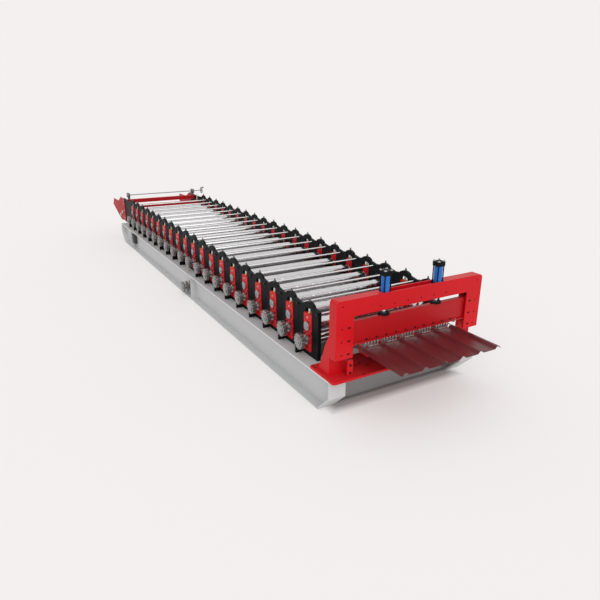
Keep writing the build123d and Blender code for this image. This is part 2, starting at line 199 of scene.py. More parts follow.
def newGroup(name, inputs, outputs):
    group = bpy.data.node_groups.new(name, "ShaderNodeTree")
    for label, value in inputs:
        socket = group.interface.new_socket(name=label, in_out="INPUT",
                                            socket_type="NodeSocketFloat")
        socket.default_value = value
    for label, kind in outputs:
        group.interface.new_socket(name=label, in_out="OUTPUT", socket_type=kind)
    start = group.nodes.new("NodeGroupInput")
    end = group.nodes.new("NodeGroupOutput")
    return group, start, end


def mathNode(tree, operation, first, second=None, clamp=False):
    node = tree.nodes.new("ShaderNodeMath")
    node.operation = operation
    node.use_clamp = clamp
    for socket, value in ((node.inputs[0], first), (node.inputs[1], second)):
        if value is None:
            continue
        if isinstance(value, (int, float)):
            socket.default_value = value
        else:
            tree.links.new(value, socket)
    return node.outputs[0]


def objectPoint(tree):
    return tree.nodes.new("ShaderNodeTexCoord").outputs["Object"]


def noiseOf(tree, vector, scale, detail=3.0):
    node = tree.nodes.new("ShaderNodeTexNoise")
    node.inputs["Detail"].default_value = detail
    tree.links.new(vector, node.inputs["Vector"])
    if isinstance(scale, (int, float)):
        node.inputs["Scale"].default_value = scale
    else:
        tree.links.new(scale, node.inputs["Scale"])
    return node.outputs["Fac"]


def makeEdgeWearAndHighlight():
    # bright where a rounded normal leaves the flat one, broken up by noise: edge wear that is
    # partly a painted highlight
    wearAndHighlight = {"samples": 4, "gain": 6.0, "contrast": 2.6, "threshold": 0.8}
    group, start, end = newGroup("edgeWearAndHighlight", [("Radius", 0.003), ("Break up", 60.0)],
                                 [("Mask", "NodeSocketFloat"), ("Normal", "NodeSocketVector")])
    rounded = group.nodes.new("ShaderNodeBevel")
    rounded.samples = wearAndHighlight["samples"]
    group.links.new(start.outputs["Radius"], rounded.inputs["Radius"])
    flat = group.nodes.new("ShaderNodeNewGeometry")
    dot = group.nodes.new("ShaderNodeVectorMath")
    dot.operation = "DOT_PRODUCT"
    group.links.new(rounded.outputs[0], dot.inputs[0])
    group.links.new(flat.outputs["Normal"], dot.inputs[1])
    away = mathNode(group, "SUBTRACT", 1.0, dot.outputs["Value"], clamp=True)
    strong = mathNode(group, "MULTIPLY", away, wearAndHighlight["gain"], clamp=True)
    grain = noiseOf(group, objectPoint(group), start.outputs["Break up"])
    steep = mathNode(group, "MULTIPLY", grain, wearAndHighlight["contrast"])
    broken = mathNode(group, "SUBTRACT", steep, wearAndHighlight["threshold"], clamp=True)
    group.links.new(mathNode(group, "MULTIPLY", strong, broken), end.inputs["Mask"])
    group.links.new(rounded.outputs[0], end.inputs["Normal"])
    return group


def makePaintSkin():
    # slow mottling of the colour and the fine orange peel of sprayed paint
    group, start, end = newGroup("paintSkin", [("Mottle scale", 3.0), ("Peel scale", 380.0)],
                                 [("Mottle", "NodeSocketFloat"), ("Peel", "NodeSocketFloat")])
    point = objectPoint(group)
    slow = noiseOf(group, point, start.outputs["Mottle scale"], detail=5.0)
    peel = noiseOf(group, point, start.outputs["Peel scale"], detail=1.0)
    group.links.new(slow, end.inputs["Mottle"])
    group.links.new(peel, end.inputs["Peel"])
    return group


def makeSettledDust():
    # lies on faces that look up, more in patches
    lean = {"gain": 1.6, "start": 0.6}
    group, start, end = newGroup("settledDust", [("Amount", 0.3), ("Patch scale", 5.0)],
                                 [("Mask", "NodeSocketFloat")])
    geometry = group.nodes.new("ShaderNodeNewGeometry")
    split = group.nodes.new("ShaderNodeSeparateXYZ")
    group.links.new(geometry.outputs["Normal"], split.inputs[0])
    tilt = mathNode(group, "MULTIPLY", split.outputs["Z"], lean["gain"])
    up = mathNode(group, "SUBTRACT", tilt, lean["start"], clamp=True)
    patch = noiseOf(group, objectPoint(group), start.outputs["Patch scale"], detail=6.0)
    patchy = mathNode(group, "MULTIPLY", up, patch)
    mask = mathNode(group, "MULTIPLY", patchy, start.outputs["Amount"])
    group.links.new(mask, end.inputs["Mask"])
    return group


def makeTurnedLines():
    # fine tool lines round a piece that was turned about the Y axis
    group, start, end = newGroup("turnedLines", [("Density", 900.0)],
                                 [("Height", "NodeSocketFloat"), ("Band", "NodeSocketFloat")])
    split = group.nodes.new("ShaderNodeSeparateXYZ")
    group.links.new(objectPoint(group), split.inputs[0])
    across = group.nodes.new("ShaderNodeCombineXYZ")
    group.links.new(split.outputs["Y"], across.inputs["Y"])
    lines = noiseOf(group, across.outputs[0], start.outputs["Density"], detail=2.0)
    bands = noiseOf(group, across.outputs[0], scale=9.0, detail=3.0)
    group.links.new(lines, end.inputs["Height"])
    group.links.new(bands, end.inputs["Band"])
    return group


effects = {"edgeWearAndHighlight": makeEdgeWearAndHighlight(), "paintSkin": makePaintSkin(),
           "settledDust": makeSettledDust(), "turnedLines": makeTurnedLines()}
print("node groups built")


def useGroup(tree, name, values):
    node = tree.nodes.new("ShaderNodeGroup")
    node.node_tree = effects[name]
    for label, value in values.items():
        node.inputs[label].default_value = value
    return node


def startMaterial(name):
    material = bpy.data.materials.new(name)
    material.use_nodes = True
    tree = material.node_tree
    return material, tree, tree.nodes["Principled BSDF"]


def mixColor(tree, mask, first, second):
    node = tree.nodes.new("ShaderNodeMix")
    node.data_type = "RGBA"
    tree.links.new(mask, node.inputs["Factor"])
    for socket, value in ((node.inputs[6], first), (node.inputs[7], second)):
        if isinstance(value, (tuple, list)):
            socket.default_value = (*value, 1.0)
        else:
            tree.links.new(value, socket)
    return node.outputs[2]


def spread(tree, value, low, high):
    node = tree.nodes.new("ShaderNodeMapRange")
    node.inputs["To Min"].default_value = low
    node.inputs["To Max"].default_value = high
    tree.links.new(value, node.inputs["Value"])
    return node.outputs[0]


def bumpFrom(tree, height, strength, distance, normal=None):
    node = tree.nodes.new("ShaderNodeBump")
    node.inputs["Strength"].default_value = strength
    node.inputs["Distance"].default_value = distance
    tree.links.new(height, node.inputs["Height"])
    if normal:
        tree.links.new(normal, node.inputs["Normal"])
    return node.outputs[0]


# paints: colour, second colour of the mottle, worn edge with painted highlight, dust, gloss and
# mirror strength
paints = {
    "machineRed": {"color": (0.60, 0.006, 0.011), "shade": (0.51, 0.004, 0.009),
                   "wornAndLit": (0.70, 0.06, 0.07), "dust": 0.04, "rough": (0.32, 0.42), "mirror": 0.16},
    # darker copy of the machine red: painted shade of the carrier set back in the portal, also used
    # on the outlet bar
    "shadedCarrierRed": {"color": (0.46, 0.006, 0.010), "shade": (0.40, 0.005, 0.008),
                   "wornAndLit": (0.45, 0.04, 0.05), "dust": 0.04, "rough": (0.34, 0.44), "mirror": 0.22},
    # darker copy of the machine red: painted shade of the infeed side plates
    "shadedGuideRed": {"color": (0.42, 0.010, 0.016), "shade": (0.36, 0.008, 0.012),
                 "wornAndLit": (0.50, 0.05, 0.06), "dust": 0.04, "rough": (0.42, 0.52), "mirror": 0.10},
    "baseGrey": {"color": (0.54, 0.545, 0.55), "shade": (0.49, 0.495, 0.50),
                 "wornAndLit": (0.74, 0.74, 0.74), "dust": 0.03, "rough": (0.38, 0.5), "mirror": 0.35},
    # paler grey for the outer edges of the beams' top flanges: a painted highlight
    "highlightEdgeGrey": {"color": (0.70, 0.70, 0.70), "shade": (0.65, 0.65, 0.65),
                 "wornAndLit": (0.84, 0.84, 0.84), "dust": 0.02, "rough": (0.34, 0.44), "mirror": 0.4},
    # near black: painted shade in the channels of the beams
    "channelShadeGrey": {"color": (0.045, 0.048, 0.046), "shade": (0.038, 0.040, 0.039),
                "wornAndLit": (0.12, 0.12, 0.12), "dust": 0.03, "rough": (0.45, 0.55), "mirror": 0.2},
    # darker copy of the base grey: painted shade of the cross members under the base plate
    "shadedMemberGrey": {"color": (0.27, 0.275, 0.275), "shade": (0.24, 0.245, 0.245),
                   "wornAndLit": (0.50, 0.50, 0.50), "dust": 0.03, "rough": (0.42, 0.54), "mirror": 0.2},
    "plateBlack": {"color": (0.008, 0.009, 0.011), "shade": (0.005, 0.006, 0.007),
                   "wornAndLit": (0.04, 0.04, 0.042), "dust": 0.015, "rough": (0.42, 0.54),
                   "mirror": 0.06},
    "cylinderBlue": {"color": (0.008, 0.15, 0.52), "shade": (0.006, 0.13, 0.46),
                     "wornAndLit": (0.10, 0.25, 0.6), "dust": 0.02, "rough": (0.20, 0.28),
                     "mirror": 0.35},
    "sheetWine": {"color": (0.115, 0.013, 0.016), "shade": (0.10, 0.011, 0.014),
                  "wornAndLit": (0.30, 0.10, 0.10), "dust": 0.02, "rough": (0.24, 0.32), "mirror": 0.36},
    # near black: painted shade at the bottoms of the portal's recesses, and the finish of the
    # oblong nuts
    "blackAndRecessShade": {"color": (0.006, 0.006, 0.007), "shade": (0.004, 0.004, 0.005),
                  "wornAndLit": (0.02, 0.02, 0.02), "dust": 0.0, "rough": (0.6, 0.7), "mirror": 0.1},
}
dustTones = {"paint": (0.55, 0.53, 0.50), "metal": (0.45, 0.44, 0.42)}


def makePaint(name, look):
    material, tree, shader = startMaterial(name)
    skin = useGroup(tree, "paintSkin", {"Mottle scale": 2.2, "Peel scale": 320.0})
    edge = useGroup(tree, "edgeWearAndHighlight", {"Radius": 0.0022, "Break up": 45.0})
    dust = useGroup(tree, "settledDust", {"Amount": look["dust"], "Patch scale": 4.0})
    base = mixColor(tree, skin.outputs["Mottle"], look["color"], look["shade"])
    # edges in a lighter tone of the paint: partly wear, partly a painted highlight
    wornAndLit = mixColor(tree, edge.outputs["Mask"], base, look["wornAndLit"])
    dusty = mixColor(tree, dust.outputs["Mask"], wornAndLit, dustTones["paint"])
    tree.links.new(dusty, shader.inputs["Base Color"])
    low, high = look["rough"]
    tree.links.new(spread(tree, skin.outputs["Mottle"], low, high), shader.inputs["Roughness"])
    shader.inputs["Specular IOR Level"].default_value = look["mirror"]
    normal = bumpFrom(tree, skin.outputs["Peel"], strength=0.04, distance=0.0004,
                      normal=edge.outputs["Normal"])
    tree.links.new(normal, shader.inputs["Normal"])
    return material


# bare metals: colour, streak colour, gloss, tool lines
metals = {
    "rollChrome": {"color": (0.74, 0.74, 0.75), "streak": (0.60, 0.61, 0.63),
                   "rough": (0.10, 0.18), "lines": 0.02, "density": 700.0},
    "brightRod": {"color": (0.86, 0.86, 0.86), "streak": (0.76, 0.76, 0.77),
                  "rough": (0.16, 0.26), "lines": 0.02, "density": 900.0},
    "darkSteel": {"color": (0.17, 0.17, 0.18), "streak": (0.11, 0.11, 0.115),
                  "rough": (0.32, 0.45), "lines": 0.06, "density": 600.0},
    "shaftSteel": {"color": (0.42, 0.42, 0.43), "streak": (0.30, 0.30, 0.31),
                   "rough": (0.26, 0.38), "lines": 0.06, "density": 600.0},
    "toolSteel": {"color": (0.60, 0.60, 0.61), "streak": (0.50, 0.50, 0.51),
                  "rough": (0.22, 0.34), "lines": 0.05, "density": 500.0},
    "sprocketGrey": {"color": (0.40, 0.395, 0.385), "streak": (0.26, 0.255, 0.25),
                     "rough": (0.30, 0.42), "lines": 0.05, "density": 500.0},
    "zincBolt": {"color": (0.62, 0.62, 0.61), "streak": (0.50, 0.50, 0.49),
                 "rough": (0.26, 0.38), "lines": 0.04, "density": 500.0},
    "blackBolt": {"color": (0.035, 0.035, 0.037), "streak": (0.022, 0.022, 0.023),
                  "rough": (0.36, 0.5), "lines": 0.04, "density": 500.0},
    "brassCollar": {"color": (0.62, 0.45, 0.17), "streak": (0.50, 0.35, 0.12),
                    "rough": (0.24, 0.36), "lines": 0.05, "density": 700.0},
}


def makeMetal(name, look):
    material, tree, shader = startMaterial(name)
    turned = useGroup(tree, "turnedLines", {"Density": look["density"]})
    edge = useGroup(tree, "edgeWearAndHighlight", {"Radius": 0.0014, "Break up": 80.0})
    dust = useGroup(tree, "settledDust", {"Amount": 0.04, "Patch scale": 7.0})
    base = mixColor(tree, turned.outputs["Band"], look["color"], look["streak"])
    # edges a little lighter than the metal: partly rubbed wear, partly a painted highlight
    rubbedAndLit = {"gain": 1.25, "lift": 0.02}
    bright = tuple(min(1.0, channel * rubbedAndLit["gain"] + rubbedAndLit["lift"])
                   for channel in look["color"])
    wornAndLit = mixColor(tree, edge.outputs["Mask"], base, bright)
    dusty = mixColor(tree, dust.outputs["Mask"], wornAndLit, dustTones["metal"])
    tree.links.new(dusty, shader.inputs["Base Color"])
    shader.inputs["Metallic"].default_value = 1.0
    low, high = look["rough"]
    tree.links.new(spread(tree, turned.outputs["Band"], low, high), shader.inputs["Roughness"])
    normal = bumpFrom(tree, turned.outputs["Height"], strength=look["lines"], distance=0.0003,
                      normal=edge.outputs["Normal"])
    tree.links.new(normal, shader.inputs["Normal"])
    return material


def makeGripBlack():
    # moulded plastic of handle grips and caps
    material, tree, shader = startMaterial("gripBlack")
    skin = useGroup(tree, "paintSkin", {"Mottle scale": 6.0, "Peel scale": 500.0})
    tones = {"first": (0.02, 0.02, 0.022), "second": (0.032, 0.032, 0.034)}
    mottle = mixColor(tree, skin.outputs["Mottle"], **tones)
    tree.links.new(mottle, shader.inputs["Base Color"])
    gloss = spread(tree, skin.outputs["Mottle"], low=0.45, high=0.6)
    tree.links.new(gloss, shader.inputs["Roughness"])
    normal = bumpFrom(tree, skin.outputs["Peel"], strength=0.1, distance=0.0004)
    tree.links.new(normal, shader.inputs["Normal"])
    return material


materials = {name: makePaint(name, look) for name, look in paints.items()}
materials.update({name: makeMetal(name, look) for name, look in metals.items()})
materials["gripBlack"] = makeGripBlack()
print("materials made")


# A CAD node is loose triangles, so a merged copy with smooth shading is shown in its place.
# Each entry: finish, the record's slot, the body it rides on, width of its rounded edges.
forms = {
    "side_beams": ("baseGrey", "base_grey", "machine", 0),
    # cross members in the darker copy of the base grey, as painted shade
    "cross_members": ("shadedMemberGrey", "base_grey", "machine", 0.003),
    "drive_gearbox": ("baseGrey", "base_grey", "machine", 0),
    "stand_plates_left": ("plateBlack", "plate_black", "machine", 0),
    "stand_plates_right": ("plateBlack", "plate_black", "machine", 0),
    "lower_bearing_blocks": ("machineRed", "machine_red", "machine", 0),
    "upper_bearing_blocks": ("machineRed", "machine_red", "machine", 0),
    "adjusting_screws": ("darkSteel", "dark_steel", "machine", 0),
    "tie_rods": ("brightRod", "bright_rod", "machine", 0.0008),
    "shear_frame": ("machineRed", "machine_red", "machine", 0),
    "shear_dies": ("machineRed", "machine_red", "machine", 0.0015),
    "shear_cylinders": ("cylinderBlue", "cylinder_blue", "machine", 0),
    # infeed plates in the darker copy of the machine red, as painted shade
    "infeed_guides": ("shadedGuideRed", "machine_red", "machine", 0),
    "infeed_rollers": ("toolSteel", "tool_steel", "machine", 0.0015),
    "formed_sheet": ("sheetWine", "sheet_wine", "machine", 0),
    # carrier in the darker copy of the machine red, as painted shade
    "blade_carrier": ("shadedCarrierRed", "carrier_red", "cutter", 0.003),
    "shear_blade": ("darkSteel", "tool_steel", "cutter", 0),
    "cylinder_rods": ("brightRod", "bright_rod", "cutter", 0),
    "guide_screw": ("shaftSteel", "dark_steel", "guide_screw", 0),
    "drive_shaft": ("sprocketGrey", "sprocket_grey", "drive_shaft", 0)}
for index in range(line["stands"]):
    for level in line["levels"]:
        name = rollName(level, index)
        forms[name] = ("rollChrome", "roll_chrome", name, 0)


def shownForm(name, look):
    material, slotName, body, width = look
    obj = bpy.data.objects.new(name + "_form", nodes[name].data.copy())
    bpy.context.collection.objects.link(obj)
    pick(obj)
    bpy.ops.mesh.customdata_custom_splitnormals_clear()
    bpy.ops.object.mode_set(mode="EDIT")
    bpy.ops.mesh.select_all(action="SELECT")
    bpy.ops.mesh.remove_doubles(threshold=meshing["merge"])
    if width:
        bpy.ops.mesh.dissolve_limited(angle_limit=radians(meshing["flat"]))
    settle()
    if width:
        rounder = obj.modifiers.new("rounded", "BEVEL")
        rounder.width = width
        rounder.segments = 2
        rounder.limit_method = "ANGLE"
        rounder.angle_limit = radians(meshing["corner"])
        bpy.ops.object.modifier_apply(modifier="rounded")
    finish(obj, name + "_form", material, body)
    even = obj.modifiers.new("even", "WEIGHTED_NORMAL")
    even.keep_sharp = True
    bpy.ops.object.modifier_apply(modifier="even")
    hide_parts(name)
    return obj


shown = {name: shownForm(name, look) for name, look in forms.items()}
print("CAD forms rounded")


def paintFaces(name, finishName, test):
    # gives the faces of a shown form that pass the test another finish
    mesh = shown[name].data
    mesh.materials.append(materials[finishName])
    index = len(mesh.materials) - 1
    for polygon in mesh.polygons:
        if test(polygon.center, polygon.normal):
            polygon.material_index = index


# where the finish changes on a form, in metres
borders = {"rollEnd": 0.7485, "wheel": -0.87, "hub": 0.03, "flangeTop": 1.0095,
           "barTop": 0.9385, "bearingEnd": 0.79, "beamSide": 0.9645, "beamTop": 0.38,
           "portalInside": 4.470, "play": 0.0004,
           "tubeRadius": 0.0443, "tubeTop": 1.389, "tubeBottom": 1.221}
for index, x in enumerate(standPlaces):
    for level in line["levels"]:
        paintFaces(rollName(level, index), "shaftSteel",
                   lambda c, n: abs(c.y) > borders["rollEnd"])
    paintFaces(rollName("lower", index), "sprocketGrey",
               lambda c, n: c.y < borders["wheel"]
               and abs(c.x - x) + abs(c.z - line["levels"]["lower"]) > borders["hub"])


def outsideTube(centre, normal):
    # caps and tie rods of a cylinder, all that is not its blue tube
    reach = (centre.x - shear["middle"]) ** 2 + (abs(centre.y) - shear["cylinder"]) ** 2
    inHeight = borders["tubeBottom"] <= centre.z <= borders["tubeTop"]
    return reach > borders["tubeRadius"] ** 2 or not inHeight


paintFaces("shear_cylinders", "plateBlack", outsideTube)
paintFaces("cylinder_rods", "plateBlack", lambda c, n: c.z < borders["flangeTop"])
paintFaces("infeed_guides", "darkSteel",
           lambda c, n: c.z > borders["barTop"] and abs(c.y) < borders["bearingEnd"])
# painted highlight along the outer edge of the beams' top flanges
paintFaces("side_beams", "highlightEdgeGrey",
           lambda c, n: abs(c.y) > borders["beamSide"] and c.z > borders["beamTop"])
# painted shade on the faces at the bottom of the portal's recesses
paintFaces("shear_frame", "blackAndRecessShade",
           lambda c, n: abs(c.x - borders["portalInside"]) < borders["play"]
           and n.x > facingShare)
print("second finishes given")


# fasteners, each modelled once along +Z with its seat at zero height

# shares of the head's radius and height
hexShape = {"washer": 1.35, "inset": 0.14, "dome": 0.1, "corners": 12}
capShape = {"shoulder": 0.85, "rim": 0.88, "socket": 0.38, "depth": 0.6, "corners": 12}


def facesUp(centre, normal):
    return normal.z > facingShare


def hexBolt(look):
    # washer, six-sided head with a domed top
    reach = look["head"] * hexShape["washer"]
    washer = ringStack([(reach, 0.0), (reach, look["washer"])], hexShape["corners"])
    clearSelection()
    bpy.ops.mesh.primitive_cylinder_add(vertices=6, radius=look["head"], depth=look["height"],
                                        location=(0, 0, look["washer"] + look["height"] / 2))
    head = settle()
    bpy.ops.object.mode_set(mode="EDIT")
    selectFaces(facesUp)
    bpy.ops.mesh.inset(thickness=look["head"] * hexShape["inset"])
    bpy.ops.transform.translate(value=(0, 0, look["height"] * hexShape["dome"]))
    settle()
    return joinAll([washer, head])


def capScrew(look):
    # round head with a sunk six-sided socket
    radius, height = look["head"], look["height"]
    ringStack([(radius, 0.0), (radius, height * capShape["shoulder"]),
               (radius * capShape["rim"], height)], capShape["corners"])
    bpy.ops.object.mode_set(mode="EDIT")
    selectFaces(facesUp)
    bpy.ops.mesh.inset(thickness=radius * capShape["socket"])
    bpy.ops.mesh.extrude_region_move(
        TRANSFORM_OT_translate={"value": (0, 0, -height * capShape["depth"])})
    return settle()


blockBolts = {"head": 0.0085, "height": 0.007, "washer": 0.002, "level": 0.833}
finish(spent(hexBolt(blockBolts),
             [at(x, side * line["blockFace"], blockBolts["level"], outward(side), x)
              for x in standPlaces for side in sides]),
       "block_bolts", "zincBolt", "machine")

blockScrews = {"head": 0.0095, "height": 0.009,
               "places": [(0.0, 0.497), (0.052, 0.641), (-0.052, 0.641), (0.0, 0.687)]}
finish(spent(capScrew(blockScrews),
             onBothSides(line["blockFace"], [(x + dx, z) for x in standPlaces
                                             for dx, z in blockScrews["places"]])),
       "block_cap_screws", "blackBolt", "machine")

# brass nut on each adjusting screw, seen through the slot
screwSpots = [(x, side * line["wall"]) for x in standPlaces for side in sides]
screwNut = {"low": 0.8762, "levels": [(0.024, 0.0), (0.024, 0.015), (0.021, 0.018)], "sides": 6}
finish(spent(turnedFrom(screwNut),
             [at(x, y, screwNut["low"]) for x, y in screwSpots]),
       "brass_nuts", "brassCollar", "machine")

# bright sleeve of each adjusting screw, between the nut and the slot's end
sleeve = {"levels": [(0.0150, 0.0), (0.0165, 0.002), (0.0165, 0.034), (0.0140, 0.038)],
          "sides": 20, "low": 0.8942}
finish(spent(turnedFrom(sleeve),
             [at(x, y, sleeve["low"]) for x, y in screwSpots]),
       "screw_sleeves", "zincBolt", "machine")

# thread at the screw's tip, above the nut
tipThread = {"turns": 5, "pitch": 0.0036, "root": 0.0091, "crest": 0.0103, "sides": 12,
             "low": 1.0205}
ridge = [(tipThread["root"], 0.0)]
for turn in range(tipThread["turns"]):
    ridge += [(tipThread["crest"], (turn + 0.5) * tipThread["pitch"]),
              (tipThread["root"], (turn + 1) * tipThread["pitch"])]
finish(spent(ringStack(ridge, tipThread["sides"]),
             [at(x, y, tipThread["low"]) for x, y in screwSpots]),
       "screw_threads", "darkSteel", "machine")

# nuts on the ends of the tie rods, outside the plates
tieNuts = {"head": 0.0155, "height": 0.012, "washer": 0.0025, "offset": 0.176, "level": 0.920}
finish(spent(hexBolt(tieNuts),
             onBothSides(line["plateOuter"], [(x + tieNuts["offset"], tieNuts["level"])
                                              for x in standPlaces])),
       "tie_rod_nuts", "blackBolt", "machine")

# bolts that hold the plate feet on the beams
footBolts = {"head": 0.0095, "height": 0.008, "washer": 0.0025, "reach": 0.895, "behind": 0.115,
             "apart": 0.034, "level": 0.4}
finish(spent(hexBolt(footBolts),
             [at(x - footBolts["behind"] + dx, side * footBolts["reach"], footBolts["level"])
              for x in standPlaces for side in sides
              for dx in (-footBolts["apart"], footBolts["apart"])]),
       "foot_bolts", "zincBolt", "machine")
print("stand fasteners made")


# chain wheel hubs and shaft ends, one piece for each roll so that it turns with it
shaftCap = {"levels": [(0.0295, 0.0), (0.0295, 0.003), (0.026, 0.005), (0.012, 0.005),
                       (0.010, 0.0035)],
            "sides": 20, "bolt": {"head": 0.0095, "height": 0.006}, "boltLow": 0.003}
wheelHub = {"levels": [(0.052, 0.0), (0.052, 0.009), (0.048, 0.012), (0.0312, 0.012)],
            "sides": 24, "face": -0.9652, "screw": {"head": 0.006, "height": 0.006},
            "screws": 4, "ring": 0.0665}
capTurned = turnedFrom(shaftCap)
capBolt = capScrew(shaftCap["bolt"])
capBolt.data.transform(Matrix.Translation((0, 0, shaftCap["boltLow"])))
capSource = joinAll([capTurned, capBolt])
hubScrews = onCircle(wheelHub["screws"], wheelHub["ring"], pi / 4)
hubSource = joinAll([turnedFrom(wheelHub),
                     spent(capScrew(wheelHub["screw"]), [at(x, y, 0) for x, y in hubScrews])])
for index, x in enumerate(standPlaces):
    for level, axis in line["levels"].items():
        body = rollName(level, index)
        nearEnd = line["stubEnd"] if level == "lower" else line["shaftEnd"]
        finish(placed(capSource, [at(x, line["shaftEnd"], axis, "+y"),
                                  at(x, -nearEnd, axis, "-y")]),
               body + "_ends", "shaftSteel", body)
        if level == "lower":
            finish(placed(hubSource, [at(x, wheelHub["face"], axis, "-y")]),
                   body + "_hub", "sprocketGrey", body)
bpy.data.objects.remove(capSource)
bpy.data.objects.remove(hubSource)
print("shaft ends and hubs made")


# shear: its bolts and screws, fittings of the cylinders, fingers at the outlet
carrierBolts = {"head": 0.0095, "height": 0.009, "level": 0.774, "count": 10, "pitch": 0.125}
finish(spent(capScrew(carrierBolts),
             [at(shear["carrierFront"], y, carrierBolts["level"], "+x")
              for y in spaced(carrierBolts["count"], carrierBolts["pitch"])]),
       "carrier_bolts", "blackBolt", "cutter")

postBolts = {"head": 0.013, "height": 0.010, "x": 4.475, "y": 0.7615, "levels": (0.462, 0.545)}
finish(spent(capScrew(postBolts),
             [at(postBolts["x"], side * postBolts["y"], z, "+x")
              for side in sides for z in postBolts["levels"]]),
       "post_bolts", "blackBolt", "machine")

plateBolts = {"head": 0.008, "height": 0.007,
              "places": [(4.100, 0.955), (4.150, 0.962), (4.292, 0.512), (4.360, 0.461),
                         (4.288, 0.302), (4.316, 0.586), (4.319, 0.626), (4.508, 0.62)]}
finish(spent(capScrew(plateBolts),
             [at(x, side * y, shear["plateTop"]) for side in sides
              for x, y in plateBolts["places"]]),
       "base_plate_bolts", "blackBolt", "machine")

# screws deep in the round holes of the front and back plates
holeScrews = {"head": 0.0088, "height": 0.006, "faces": [(4.4705, "+x"), (4.3775, "-x")],
              "places": [(0.878, 0.674), (0.878, 0.810), (0.878, 0.946), (0.875, 1.171)],
              "topCount": 3, "topPitch": 0.1715, "topLevel": 1.104}
holePlaces = holeScrews["places"] + [((step + 0.5) * holeScrews["topPitch"],
                                      holeScrews["topLevel"])
                                     for step in range(holeScrews["topCount"])]
finish(spent(capScrew(holeScrews),
             [at(face, side * y, z, axis) for side in sides
              for y, z in holePlaces for face, axis in holeScrews["faces"]]),
       "portal_screws", "blackBolt", "machine")

# dark oblong nuts beside the round holes of both portal plates
slotStuds = {"size": (0.009, 0.036, 0.018), "edge": 0.003, "y": 0.798,
             "levels": (0.676, 0.812, 0.948), "faces": (4.4790, 4.3690)}
finish(joinAll([bevelledBox(slotStuds["size"], (x, side * slotStuds["y"], z), slotStuds["edge"])
                for side in sides for x in slotStuds["faces"] for z in slotStuds["levels"]]),
       "slot_studs", "blackAndRecessShade", "machine")

flangeBolts = {"head": 0.0065, "height": 0.006, "ring": 0.045, "count": 6, "turned": 0.5,
               "level": 1.008}
flangeRing = onCircle(flangeBolts["count"], flangeBolts["ring"], flangeBolts["turned"])
finish(spent(capScrew(flangeBolts),
             [at(shear["middle"] + dx, side * shear["cylinder"] + dy, flangeBolts["level"])
              for side in sides for dx, dy in flangeRing]),
       "flange_bolts", "blackBolt", "cutter")

cylinderNuts = {"head": 0.0105, "height": 0.008, "washer": 0.002, "level": 1.4405, "offset": 0.036}
finish(spent(hexBolt(cylinderNuts),
             [at(shear["middle"] + dx * cylinderNuts["offset"],
                 side * shear["cylinder"] + dy * cylinderNuts["offset"], cylinderNuts["level"])
              for side in sides for dx in sides for dy in sides]),
       "cylinder_nuts", "zincBolt", "machine")

# threaded port with its blanking plug
hosePort = {"boss": {"levels": [(0.0145, 0.0), (0.0145, 0.006), (0.0125, 0.008)],
                     "sides": 16},
            "plug": {"levels": [(0.0095, 0.006), (0.0095, 0.015), (0.0080, 0.017)],
                     "sides": 6},
            "x": 4.379, "heights": (1.205, 1.415)}
finish(spent(joinAll([turnedFrom(hosePort["boss"]), turnedFrom(hosePort["plug"])]),
             [at(hosePort["x"], side * shear["cylinder"], z, "-x")
              for side in sides for z in hosePort["heights"]]),
       "cylinder_ports", "zincBolt", "machine")

# groups of bright fingers over the sheet at the outlet, on a bar between the columns
comb = {"groups": 5, "fingers": 5, "groupPitch": 0.232, "fingerPitch": 0.037, "shift": -0.045,
        "finger": (0.009, 0.019, 0.053), "x": 4.4685, "low": 0.6945, "edge": 0.0015,
        "rail": (0.006, 0.120, 0.007), "railPlace": (4.4760, 0.022, 0.6985),
        "bar": {"size": (0.009, 1.490, 0.014), "centre": (4.4685, 0, 0.7525)}}
groupPlaces = spaced(comb["groups"], comb["groupPitch"], comb["shift"])
fingerPlaces = [y for middle in groupPlaces
                for y in spaced(comb["fingers"], comb["fingerPitch"], middle)]
fingers = spent(bevelledBox(comb["finger"], (0, 0, 0), comb["edge"]),
                [at(comb["x"], y, comb["low"] + comb["finger"][2] / 2) for y in fingerPlaces])
railX, railShift, railZ = comb["railPlace"]
rails = spent(bevelledBox(comb["rail"], (0, 0, 0), comb["edge"]),
              [at(railX, y + railShift, railZ) for y in groupPlaces])
finish(joinAll([fingers, rails]), "outlet_fingers", "zincBolt", "machine")
# the bar in the darker copy of the machine red, as painted shade
finish(bevelledBox(comb["bar"]["size"], comb["bar"]["centre"], comb["edge"]), "outlet_bar",
       "shadedCarrierRed", "machine")

# the sheet behind the blade, from the last stand to the back die
sheetTail = {"start": 3.885, "end": 4.4095, "level": 0.6643, "thick": 0.0012, "ribs": 6,
             "pitch": 0.238, "base": 0.039, "top": 0.013, "height": 0.026, "lip": 0.006}


def sheetSection(look):
    # (Y, Z) points of the sheet from edge to edge
    half = (look["ribs"] - 1) / 2 * look["pitch"] + look["base"] + look["lip"]
    low, high = look["level"], look["level"] + look["height"]
    points = [(-half, low)]
    for y in spaced(look["ribs"], look["pitch"]):
        points += [(y - look["base"], low), (y - look["top"], high),
                   (y + look["top"], high), (y + look["base"], low)]
    return points + [(half, low)]


